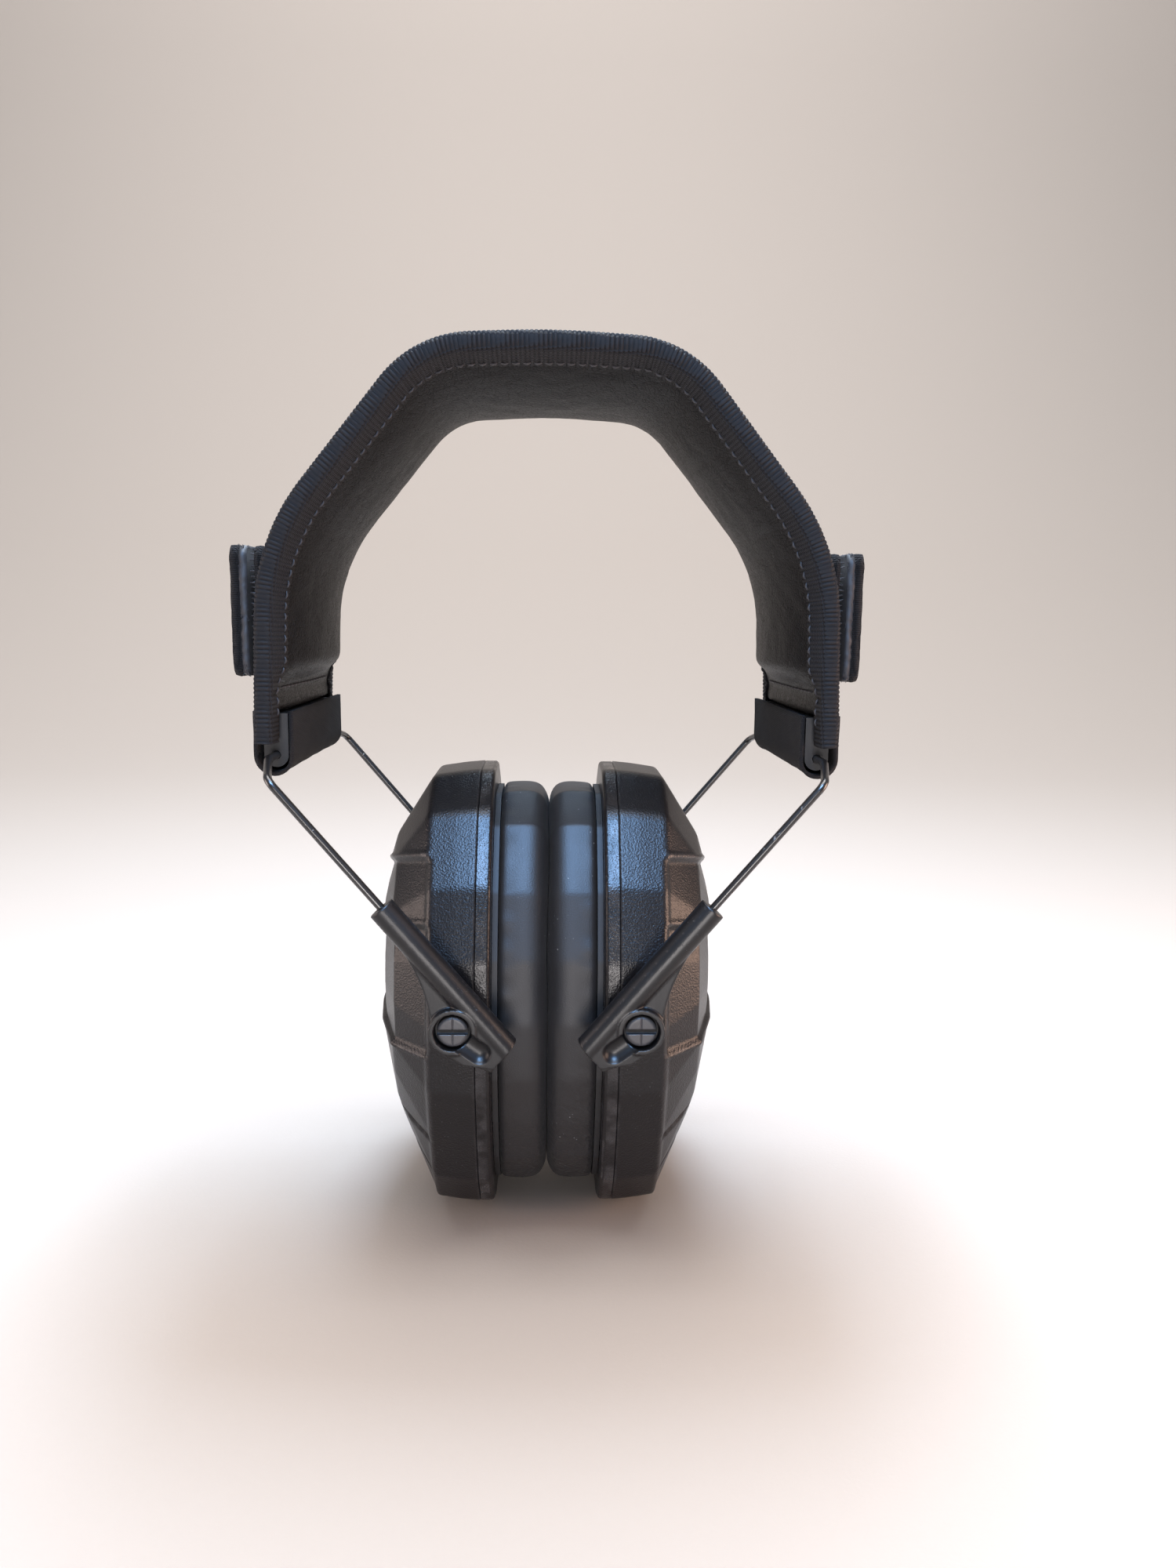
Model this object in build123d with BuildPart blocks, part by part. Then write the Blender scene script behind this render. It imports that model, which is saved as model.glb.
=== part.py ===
from build123d import *
import math
import os

# Folding hearing protection earmuffs: a padded spring headband, two wire yokes and two oval cups.
#
# Frame: +X to one side, +Y to the back, +Z up, millimetres. The origin is on the ground under the middle of
# the muffs, where both cups reach their lowest point. One muff is modelled on the +X side, and the other is
# its mirror image in the YZ plane. Parts of a yoke are also mirrored in the XZ plane, front to rear.

os.makedirs("parts", exist_ok=True)

# cups
cup_height = 107.0
cup_depth = 75.0
rim_corner = 9.0
ring_face_x = 12.3          # side of the base ring that faces the wearer
ring_thick = 3.1
ring_width = 16.0
ring_edge = 0.9
shell_foot_x = ring_face_x + ring_thick + 0.1
shell_wall = 2.4
cup_middle = cup_height / 2
pad_radius = 3.9            # round pads that the arms bear on
pad_start_y = 30.0
pad_face_y = 37.9
inner_boss_radius = 3.5
inner_boss_y = 36.6
pivot_bore_end = 31.0
# screws that hold the base ring, and their bosses
boss_places = [(22.5, 82.0), (-22.5, 82.0), (22.0, 22.0), (-22.0, 22.0)]
shell_boss_radius = 3.0
shell_boss_length = 13.2
shell_screw_radius = 1.2
shell_screw_length = 8.0
shell_head_radius = 2.3
shell_head_height = 1.0
shell_head_sunk = 0.2       # below the ring's face
shell_recess_radius = 2.5
shell_recess_depth = 1.3
shell_drive = (2.4, 0.6)    # length and width of one bar of the cross recess
# foam liner: x, scale in y, scale in z, middle
liner_near = (25.2, 0.68, 0.76, 55.5)
liner_far = (31.5, 0.58, 0.54, 57.0)
# cushions
cushion_face_x = 0.35       # half of the gap where the two cushions meet
cushion_back_x = 10.9
cushion_inset = 5.0         # from the cup's outline to the cushion's
cushion_width = 16.0        # of the ring of foam
cushion_round = 4.6
skin_thick = 0.9
plate_face_x = 10.95
plate_back_x = 12.2
plate_inset = 5.6
plate_inner_inset = 20.0
# headband
band_half_width = 31.5
binding_thick = 0.7
binding_fold = 5.0          # how far the tape reaches over each face
fold_rise = 1.8             # the tape's inner edge lies this much higher on the swell of the pad
edge_stack = 3.9            # from the outer face to the inner face at the bound edge
cover_edge_y = 30.4         # where the covers end, inside the binding
cover_thick = 0.9
cover_gap = 0.05
pad_base = 2.05             # from the outer face to the inner cover's underside at its edge
pad_crown = 10.0            # from the outer face to the crown of the pad
foam_half_width = 27.0
foam_base, foam_edge = 2.0, 2.6
pad_end_z = 121.4
binding_end_z = 115.2
band_end = (61.2, 113.0)
band_side = (59.7, 156.7)
band_shoulder = (27.2, 196.9)
band_top = 198.25
side_radius, shoulder_radius, top_radius = 45.0, 24.0, 200.0
spring_half_width, spring_in, spring_out = 13.0, 1.9, 1.1
spring_end_z = 115.0
# yoke
hinge_x, hinge_z = 58.6, 112.0
leg_angle = 40.2            # from straight down, towards the other muff
leg_y = 41.5
wire_radius = 0.85
crossbar_half = 31.0
bend_drop = 3.8
bend_tight, bend_wide = 2.6, 6.0
leg_end = 46.4              # along the leg from the hinge
ferrule_radius, ferrule_length = 1.5, 5.0
# arms, in distances along the leg (s) and across it towards the cup's outside (q)
arm_top, arm_tip = 38.0, 78.0
tube_radius = 2.8
collar_length, collar_bore = 3.0, 0.93
slide_bore, slide_bore_end = 1.6, 62.0
pivot_s, pivot_q = 67.1, 5.6
boss_radius = 4.9
arm_back_y, web_back_y, web_face_y, tip_face_y, boss_face_y = 38.6, 38.9, 42.7, 44.0, 44.4
web_top_s = 46.0
web_bow = (55.0, 4.2)       # middle of the web's hollow outer edge
tip_corner = (arm_tip + 3.0, 4.7)
tip_side = (74.0, 8.6)
tip_start_s = 67.0
tip_cut = [(77.3, -4.0), (79.4, 6.0)]
tip_block = [(78.0, 0.0), (78.8, 4.4)]
recess_radius, recess_floor_y = 3.9, 42.0
dish_start, dish_end = (68.5, 5.6), (74.2, 4.2)
dish_radius, dish_depth = 2.6, 1.5
# pivot screws and washers
screw_bore, screw_radius = 1.95, 1.85
head_radius, head_height, head_round = 3.3, 1.7, 0.8
head_gap = 0.05
slot_width, slot_depth, fine_slot = 1.1, 0.8, 0.25
screw_start_y = 31.5
washer_radius, washer_thick, washer_face_y = 4.4, 0.5, 38.0
# headband ends: clip, rivets and fabric tab
clip_half_width, clip_thick, clip_top = 24.0, 5.2, 121.0
clip_bore = wire_radius + 0.08
spring_slot = (1.25, 26.6, 6.6)
spring_slot_x, spring_slot_z = 59.55, 117.9
rivet_y, rivet_z = 7.5, 118.0
rivet_radius, rivet_bore = 1.2, 1.25
tab_half_width, tab_thick, tab_gap = 26.2, 1.0, 0.1
# hook-and-loop patches
patch_low, patch_high = 129.0, 156.0
patch_half_width = 25.0
patch_corner = 2.5
patch_base_x, patch_seam_x, patch_face_x = 57.0, 63.2, 66.9
patch_gap = 0.1

leg = Vector(-math.sin(math.radians(leg_angle)), 0, -math.cos(math.radians(leg_angle)))
across = Vector(math.cos(math.radians(leg_angle)), 0, -math.sin(math.radians(leg_angle)))
hinge = Vector(hinge_x, 0, hinge_z)
patch_middle_z = (patch_low + patch_high) / 2


def on_yoke(s, q=0.0, y=0.0):
    """A point s along the leg from the hinge, q across it and y from the middle."""
    return hinge + leg * s + across * q + Vector(0, y, 0)


def save(part, node):
    part.label = node
    export_step(part, f"parts/{node}.step")


def save_pair(part, piece):
    """Writes one muff's piece and its mirror image: right is +X."""
    save(part, f"right_{piece}")
    save(mirror(part, about=Plane.YZ), f"left_{piece}")


# The cup's outline.
# One half of the rim, from top to bottom, as (y, z): a tall oval drawn as flats.
rim_half = [
    (9.0, 107.0), (21.5, 99.5), (31.0, 84.5), (36.0, 69.0), (37.5, 54.0),
    (36.0, 39.5), (32.0, 27.0), (26.0, 14.5), (17.5, 4.5), (7.5, 0.0),
]


def cup_outline(scale_y=1.0, scale_z=1.0, middle=cup_middle, inset=0.0):
    """The rim's outline, scaled and then drawn in by inset."""
    half = [(y * scale_y, middle + (z - cup_middle) * scale_z) for y, z in rim_half]
    with BuildSketch(Plane.XY, mode=Mode.PRIVATE) as outline:
        with BuildLine():
            Polyline(*half, *[(-y, z) for y, z in reversed(half)], close=True)
        make_face()
        fillet(outline.vertices(), rim_corner * min(scale_y, scale_z))
        if inset:
            offset(amount=-inset, mode=Mode.REPLACE)
    return outline.sketch


def outline_ring(outer_inset, inner_inset):
    """A ring between two insets of the rim's outline."""
    return cup_outline(inset=outer_inset) - cup_outline(inset=inner_inset)


# tiers of the shell from rim to outer face: x, scale in y, scale in z, middle
tiers = [
    (shell_foot_x, 1.0, 1.0, cup_middle),
    (26.5, 0.975, 0.98, cup_middle),
    (35.3, 0.78, 0.63, 57.5),
    (39.2, 0.46, 0.34, 59.5),
    (40.3, 0.20, 0.15, 60.0),
]


def shell_form(wall=0.0):
    """The closed form of the shell, or of its inside when wall is given."""
    with BuildPart(mode=Mode.PRIVATE) as form:
        for x, scale_y, scale_z, middle in tiers:
            top_of_tier = x if x == shell_foot_x else x - wall
            with BuildSketch(Plane.YZ.offset(top_of_tier)):
                shrink_y = scale_y - wall / (cup_depth / 2)
                shrink_z = scale_z - wall / (cup_height / 2)
                add(cup_outline(shrink_y, shrink_z, middle))
        loft(ruled=True)
    return form.part


pivot_point = on_yoke(pivot_s, pivot_q)
pivot_x, pivot_z = pivot_point.X, pivot_point.Z

with BuildPart() as cup_shell:
    add(shell_form())
    # round pads that the arms bear on, one in front and one behind
    for side in (1, -1):
        with BuildSketch(Plane.XZ.offset(-side * pad_start_y)):
            with Locations((pivot_x, pivot_z)):
                Circle(pad_radius)
        extrude(amount=-side * (pad_face_y - pad_start_y))
    add(shell_form(shell_wall), mode=Mode.SUBTRACT)
    # inside bosses: two for the pivot screws and four for the screws that hold the base ring
    for side in (1, -1):
        with BuildSketch(Plane.XZ.offset(-side * pivot_bore_end)):
            with Locations((pivot_x, pivot_z)):
                Circle(inner_boss_radius)
        extrude(amount=-side * (inner_boss_y - pivot_bore_end))
    with BuildSketch(Plane.YZ.offset(shell_foot_x)):
        with Locations(*boss_places):
            Circle(shell_boss_radius)
    extrude(amount=shell_boss_length)
    with BuildSketch(Plane.YZ.offset(shell_foot_x)):
        with Locations(*boss_places):
            Circle(shell_screw_radius)
    extrude(amount=shell_screw_length, mode=Mode.SUBTRACT)
    for side in (1, -1):
        with BuildSketch(Plane.XZ.offset(-side * pivot_bore_end)):
            with Locations((pivot_x, pivot_z)):
                Circle(screw_bore)
        extrude(amount=-side * (arm_back_y - pivot_bore_end), mode=Mode.SUBTRACT)
save_pair(cup_shell.part, "cup_shell")

with BuildPart() as base_ring:
    with BuildSketch(Plane.YZ.offset(ring_face_x)):
        add(outline_ring(0.0, ring_width))
    extrude(amount=ring_thick)
    with BuildSketch(Plane.YZ.offset(ring_face_x)):
        with Locations(*boss_places):
            Circle(shell_screw_radius + 0.15)
    extrude(amount=ring_thick, mode=Mode.SUBTRACT)
    with BuildSketch(Plane.YZ.offset(ring_face_x)):
        with Locations(*boss_places):
            Circle(shell_recess_radius)
    extrude(amount=shell_recess_depth, mode=Mode.SUBTRACT)
    fillet(base_ring.faces().sort_by(Axis.X)[0].outer_wire().edges(), ring_edge)
save_pair(base_ring.part, "base_ring")

shell_head_x = ring_face_x + shell_head_sunk
with BuildPart() as shell_screws:
    with BuildSketch(Plane.YZ.offset(shell_head_x)):
        with Locations(*boss_places):
            Circle(shell_head_radius)
    extrude(amount=shell_head_height)
    with BuildSketch(Plane.YZ.offset(shell_head_x + shell_head_height)):
        with Locations(*boss_places):
            Circle(shell_screw_radius - 0.05)
    extrude(amount=shell_screw_length)
    with BuildSketch(Plane.YZ.offset(shell_head_x)):
        with Locations(*boss_places):
            Rectangle(*shell_drive)
            Rectangle(*reversed(shell_drive))
    extrude(amount=shell_head_height * 0.6, mode=Mode.SUBTRACT)
save_pair(shell_screws.part, "shell_screws")

with BuildPart() as foam_liner:
    for x, scale_y, scale_z, middle in (liner_near, liner_far):
        with BuildSketch(Plane.YZ.offset(x)):
            add(cup_outline(scale_y, scale_z, middle))
    loft(ruled=True)
save_pair(foam_liner.part, "foam_liner")

# The cushion: skin, foam and snap plate.
with BuildPart() as foam_ring:
    with BuildSketch(Plane.YZ.offset(cushion_face_x + skin_thick)):
        add(outline_ring(cushion_inset + skin_thick, cushion_inset + cushion_width - skin_thick))
    extrude(amount=cushion_back_x - cushion_face_x - skin_thick)
    fillet(foam_ring.faces().sort_by(Axis.X)[0].edges(), cushion_round - skin_thick)
save_pair(foam_ring.part, "cushion_foam")

with BuildPart() as cushion_skin:
    with BuildSketch(Plane.YZ.offset(cushion_face_x)):
        add(outline_ring(cushion_inset, cushion_inset + cushion_width))
    extrude(amount=cushion_back_x - cushion_face_x)
    fillet(cushion_skin.faces().sort_by(Axis.X)[0].edges(), cushion_round)
    add(foam_ring.part, mode=Mode.SUBTRACT)
save_pair(cushion_skin.part, "cushion_skin")

with BuildPart() as cushion_plate:
    with BuildSketch(Plane.YZ.offset(plate_face_x)):
        add(outline_ring(plate_inset, plate_inner_inset))
    extrude(amount=plate_back_x - plate_face_x)
save_pair(cushion_plate.part, "cushion_plate")

# The yoke: sprung wire, ferrules and the two arms.
wire_points = [
    on_yoke(leg_end, y=-leg_y),
    on_yoke(bend_drop, y=-leg_y),
    on_yoke(0, y=-crossbar_half),
    on_yoke(0, y=crossbar_half),
    on_yoke(bend_drop, y=leg_y),
    on_yoke(leg_end, y=leg_y),
]

with BuildPart() as yoke_wire:
    with BuildLine() as wire_path:
        FilletPolyline(*wire_points, radius=[bend_tight, bend_wide, bend_wide, bend_tight])
    with BuildSketch(Plane(origin=wire_points[0], z_dir=-leg)):
        Circle(wire_radius)
    sweep()
save_pair(yoke_wire.part, "yoke_wire")

with BuildPart() as ferrules:
    for side in (1, -1):
        start = Plane(origin=on_yoke(leg_end - ferrule_length, y=side * leg_y), z_dir=leg)
        with BuildSketch(start):
            Circle(ferrule_radius)
            Circle(wire_radius, mode=Mode.SUBTRACT)
        extrude(amount=ferrule_length)
save_pair(ferrules.part, "wire_ferrules")

# drawing plane of an arm: x along the leg, y across it, z out to the front
arm_plane = Plane(origin=hinge, x_dir=leg, z_dir=(0, -1, 0))
q_sign = 1 if arm_plane.y_dir.dot(across) > 0 else -1


def at(s, q):
    return (s, q * q_sign)


pivot_at = at(pivot_s, pivot_q)
boss_low = at(pivot_s + 1.9, pivot_q + 4.5)
boss_high = at(pivot_s - 4.2, pivot_q + 2.4)
tube_end = tip_corner[0]
dish_axis_y = tip_face_y + dish_radius - dish_depth
dish_from = on_yoke(*dish_start, y=-dish_axis_y)
dish_to = on_yoke(*dish_end, y=-dish_axis_y)

with BuildPart() as front_arm:
    # the web: one plate from the tube's top to the slanted tip and round the boss
    with BuildSketch(arm_plane.offset(web_back_y)):
        with BuildLine():
            Polyline(at(web_top_s, tube_radius - 0.5), at(web_top_s, 0), at(tube_end, 0), at(*tip_corner),
                     at(*tip_side), boss_low, boss_high)
            ThreePointArc(boss_high, at(*web_bow), at(web_top_s, tube_radius - 0.5))
        make_face()
        with Locations(pivot_at):
            Circle(boss_radius)
    extrude(amount=web_face_y - web_back_y)
    # the tube that runs on the wire's leg
    with BuildSketch(Plane(origin=on_yoke(arm_top, y=-leg_y), z_dir=leg)):
        Circle(tube_radius)
    extrude(amount=tube_end - arm_top)
    # the tip is cut off at a slant
    with BuildSketch(arm_plane.offset(arm_back_y - 1)):
        with BuildLine():
            Polyline(*[at(s, q) for s, q in tip_cut], at(tube_end + 3, tip_cut[1][1]),
                     at(tube_end + 3, tip_cut[0][1]), close=True)
        make_face()
    extrude(amount=10.0, mode=Mode.SUBTRACT)
    with BuildSketch(arm_plane.offset(arm_back_y)):
        with Locations(pivot_at):
            Circle(boss_radius)
    extrude(amount=boss_face_y - arm_back_y)
    # the tip below the boss stands as high as the tube
    with BuildSketch(arm_plane.offset(web_back_y)):
        with BuildLine():
            Polyline(at(tip_start_s, 0), *[at(s, q) for s, q in tip_block], at(*tip_side), boss_low, close=True)
        make_face()
    extrude(amount=tip_face_y - web_back_y)
    # recess for the screw's head, and the long rounded dish that runs from it to the tip
    with BuildSketch(arm_plane.offset(recess_floor_y)):
        with Locations(pivot_at):
            Circle(recess_radius)
    extrude(amount=boss_face_y - recess_floor_y + 1, mode=Mode.SUBTRACT)
    with BuildSketch(Plane(origin=dish_from, z_dir=dish_to - dish_from)):
        Circle(dish_radius)
    extrude(amount=(dish_to - dish_from).length, mode=Mode.SUBTRACT)
    with Locations(dish_from, dish_to):
        Sphere(dish_radius, mode=Mode.SUBTRACT)
    with BuildSketch(arm_plane.offset(arm_back_y)):
        with Locations(pivot_at):
            Circle(screw_bore)
    extrude(amount=boss_face_y - arm_back_y, mode=Mode.SUBTRACT)
    # bore of the tube: a close collar at its top, then room for the ferrule
    with BuildSketch(Plane(origin=on_yoke(arm_top, y=-leg_y), z_dir=leg)):
        Circle(collar_bore)
    extrude(amount=collar_length, mode=Mode.SUBTRACT)
    with BuildSketch(Plane(origin=on_yoke(arm_top + collar_length, y=-leg_y), z_dir=leg)):
        Circle(slide_bore)
    extrude(amount=slide_bore_end - arm_top - collar_length, mode=Mode.SUBTRACT)
save_pair(front_arm.part, "front_arm")
save_pair(mirror(front_arm.part, about=Plane.XZ), "rear_arm")

head_seat_y = recess_floor_y + head_gap
with BuildPart() as front_screw:
    with BuildSketch(arm_plane.offset(head_seat_y)):
        with Locations(pivot_at):
            Circle(head_radius)
    extrude(amount=head_height)
    fillet(front_screw.edges().group_by(Axis.Y)[0], head_round)
    with BuildSketch(arm_plane.offset(screw_start_y)):
        with Locations(pivot_at):
            Circle(screw_radius)
    extrude(amount=head_seat_y - screw_start_y)
    with Locations((pivot_x, -(head_seat_y + head_height), pivot_z)):
        Box(3 * head_radius, 2 * slot_depth, slot_width, mode=Mode.SUBTRACT)
        Box(fine_slot, 2 * fine_slot, 3 * head_radius, mode=Mode.SUBTRACT)

with BuildPart() as pivot_screws:
    add(front_screw.part)
    add(mirror(front_screw.part, about=Plane.XZ))
save_pair(pivot_screws.part, "pivot_screws")

with BuildPart() as pivot_washers:
    for side in (1, -1):
        with BuildSketch(Plane.XZ.offset(-side * washer_face_y)):
            with Locations((pivot_x, pivot_z)):
                Circle(washer_radius)
                Circle(screw_bore + 0.05, mode=Mode.SUBTRACT)
        extrude(amount=-side * washer_thick)
save_pair(pivot_washers.part, "pivot_washers")


# The headband.
def band_path(end_z):
    """The headband's outer face from one end to the other, seen from the front; the ends stop at end_z."""
    share = (end_z - band_end[1]) / (band_side[1] - band_end[1])
    end_x = band_end[0] + (band_side[0] - band_end[0]) * share
    right = [(end_x, end_z), band_side, band_shoulder]
    points = [*right, (0, band_top), *[(-x, z) for x, z in reversed(right)]]
    radii = [side_radius, shoulder_radius, top_radius, shoulder_radius, side_radius]
    return FilletPolyline(*[(x, 0, z) for x, z in points], radius=radii)


def across_band(path):
    """The plane across a path's start, with x along +Y and y from the outer face inwards."""
    return Plane(origin=path @ 0, x_dir=(0, 1, 0), z_dir=path % 0)


with BuildPart() as outer_cover:
    with BuildLine() as path:
        band_path(pad_end_z)
    with BuildSketch(across_band(path.line)):
        with Locations((0, cover_gap + cover_thick / 2)):
            Rectangle(2 * cover_edge_y, cover_thick)
    sweep()
save(outer_cover.part, "band_outer_cover")

with BuildPart() as band_spring:
    with BuildLine() as path:
        band_path(spring_end_z)
    with BuildSketch(across_band(path.line)):
        with Locations((0, (spring_in + spring_out) / 2)):
            Rectangle(2 * spring_half_width, spring_in - spring_out)
    sweep()
    for x in (hinge_x, -hinge_x):
        for y in (rivet_y, -rivet_y):
            with Locations(Location((x, y, rivet_z), (0, 90, 0))):
                Cylinder(rivet_bore, 2 * clip_thick, mode=Mode.SUBTRACT)
save(band_spring.part, "band_spring")

foam_crown = pad_crown - cover_thick - cover_gap
with BuildPart() as band_foam:
    with BuildLine() as path:
        band_path(pad_end_z)
    with BuildSketch(across_band(path.line)):
        with BuildLine():
            Polyline((foam_half_width, foam_edge), (foam_half_width, foam_base),
                     (-foam_half_width, foam_base), (-foam_half_width, foam_edge))
            ThreePointArc((-foam_half_width, foam_edge), (0, foam_crown), (foam_half_width, foam_edge))
        make_face()
    sweep()
save(band_foam.part, "band_foam")

with BuildPart() as inner_cover:
    with BuildLine() as path:
        band_path(pad_end_z)
    with BuildSketch(across_band(path.line)):
        with BuildLine():
            pad_face = pad_base + cover_thick
            ThreePointArc((-cover_edge_y, pad_base), (0, pad_crown - cover_thick), (cover_edge_y, pad_base))
            Line((cover_edge_y, pad_base), (cover_edge_y, pad_face))
            ThreePointArc((cover_edge_y, pad_face), (0, pad_crown), (-cover_edge_y, pad_face))
            Line((-cover_edge_y, pad_face), (-cover_edge_y, pad_base))
        make_face()
    sweep()
save(inner_cover.part, "band_inner_cover")

with BuildPart() as rear_binding:
    fold_y = band_half_width - binding_fold
    lip_y = cover_edge_y + 0.1
    with BuildLine() as path:
        band_path(binding_end_z)
    with BuildSketch(across_band(path.line)):
        with BuildLine():
            Polyline((fold_y, -binding_thick - cover_gap), (band_half_width, -binding_thick - cover_gap),
                     (band_half_width, edge_stack), (fold_y, edge_stack + fold_rise),
                     (fold_y, edge_stack + fold_rise - binding_thick),
                     (lip_y, edge_stack - binding_thick - cover_gap), (lip_y, -cover_gap), (fold_y, -cover_gap),
                     close=True)
        make_face()
    sweep()
save(rear_binding.part, "rear_binding")
save(mirror(rear_binding.part, about=Plane.XZ), "front_binding")

# The headband's ends: clip, rivets and fabric tab.
with BuildPart() as end_clip:
    with BuildSketch(Plane.XZ.offset(-clip_half_width)):
        with Locations((hinge_x, (hinge_z + clip_top) / 2)):
            Rectangle(clip_thick, clip_top - hinge_z)
        with Locations((hinge_x, hinge_z)):
            Circle(clip_thick / 2)
            Circle(clip_bore, mode=Mode.SUBTRACT)
    extrude(amount=2 * clip_half_width)
    with Locations((spring_slot_x, 0, spring_slot_z)):
        Box(*spring_slot, mode=Mode.SUBTRACT)
    for y in (rivet_y, -rivet_y):
        with Locations(Location((hinge_x, y, rivet_z), (0, 90, 0))):
            Cylinder(rivet_bore, 2 * clip_thick, mode=Mode.SUBTRACT)
save_pair(end_clip.part, "end_clip")

with BuildPart() as clip_rivets:
    for x in (hinge_x, -hinge_x):
        for y in (rivet_y, -rivet_y):
            with Locations(Location((x, y, rivet_z), (0, 90, 0))):
                Cylinder(rivet_radius, clip_thick)
save(clip_rivets.part, "clip_rivets")

with BuildPart() as end_tab:
    with BuildSketch(Plane.XZ.offset(-tab_half_width)):
        for grow, mode in ((tab_gap + tab_thick, Mode.ADD), (tab_gap, Mode.SUBTRACT)):
            with Locations((hinge_x, (hinge_z + clip_top) / 2)):
                Rectangle(clip_thick + 2 * grow, clip_top - hinge_z, mode=mode)
            with Locations((hinge_x, hinge_z)):
                Circle(clip_thick / 2 + grow, mode=mode)
    extrude(amount=2 * tab_half_width)
save_pair(end_tab.part, "end_tab")

# The hook-and-loop patches on the sides of the headband.
with BuildPart() as patch_base:
    with Locations(((patch_base_x + patch_seam_x) / 2, 0, patch_middle_z)):
        Box(patch_seam_x - patch_base_x, 2 * patch_half_width, patch_high - patch_low)
    with BuildSketch(Plane.XZ.offset(-patch_half_width - 1)):
        with BuildLine():
            band_edge = band_path(binding_end_z)
            Line(band_edge @ 0, band_edge @ 1)
        make_face()
        offset(amount=patch_gap, kind=Kind.INTERSECTION, mode=Mode.REPLACE)
    extrude(amount=2 * patch_half_width + 2, mode=Mode.SUBTRACT)
save_pair(patch_base.part, "patch_base")

with BuildPart() as patch:
    with BuildSketch(Plane.YZ.offset(patch_seam_x + patch_gap)):
        with Locations((0, patch_middle_z)):
            RectangleRounded(2 * patch_half_width, patch_high - patch_low, patch_corner)
    extrude(amount=patch_face_x - patch_seam_x - patch_gap)
save_pair(patch.part, "patch")
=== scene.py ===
import math
import random

import bmesh
import bpy
from mathutils import Matrix, Vector, noise


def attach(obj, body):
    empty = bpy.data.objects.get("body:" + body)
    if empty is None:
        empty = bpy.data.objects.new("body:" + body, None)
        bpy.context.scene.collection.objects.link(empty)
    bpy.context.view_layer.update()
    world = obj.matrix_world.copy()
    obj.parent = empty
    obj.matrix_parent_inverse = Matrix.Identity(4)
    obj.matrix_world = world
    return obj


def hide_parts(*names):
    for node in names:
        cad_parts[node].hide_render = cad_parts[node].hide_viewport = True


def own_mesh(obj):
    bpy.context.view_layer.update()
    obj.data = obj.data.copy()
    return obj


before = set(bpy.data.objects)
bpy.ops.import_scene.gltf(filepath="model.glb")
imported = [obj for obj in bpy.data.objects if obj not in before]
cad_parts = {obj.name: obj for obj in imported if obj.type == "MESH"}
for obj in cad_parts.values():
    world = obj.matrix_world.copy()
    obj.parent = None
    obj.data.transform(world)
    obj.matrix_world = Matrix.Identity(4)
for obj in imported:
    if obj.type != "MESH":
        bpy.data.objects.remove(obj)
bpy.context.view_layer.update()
random.seed(11)
mm = 0.001
sides = (("left", -1), ("right", 1))
print("frame loaded:", len(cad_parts), "nodes")


# shader helpers
class Signal:
    def __init__(self, finish, socket):
        self.finish = finish
        self.socket = socket

    def math(self, operation, first, second=None):
        return self.finish.node("ShaderNodeMath", dict(operation=operation), {0: first, 1: second})

    def __add__(self, other):
        return self.math("ADD", self, other)

    def __radd__(self, other):
        return self.math("ADD", other, self)

    def __sub__(self, other):
        return self.math("SUBTRACT", self, other)

    def __rsub__(self, other):
        return self.math("SUBTRACT", other, self)

    def __mul__(self, other):
        return self.math("MULTIPLY", self, other)

    def __rmul__(self, other):
        return self.math("MULTIPLY", other, self)

    def __pow__(self, other):
        return self.math("POWER", self, other)

    def sine(self):
        return self.math("SINE", self)

    def size(self):
        return self.math("ABSOLUTE", self)

    def above(self, edge, soft=0.02):      # 0 below the edge, 1 above it, with a soft step
        return self.finish.node("ShaderNodeMapRange", dict(interpolation_type="SMOOTHSTEP"),
                                {"Value": self, "From Min": edge - soft, "From Max": edge + soft})


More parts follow.
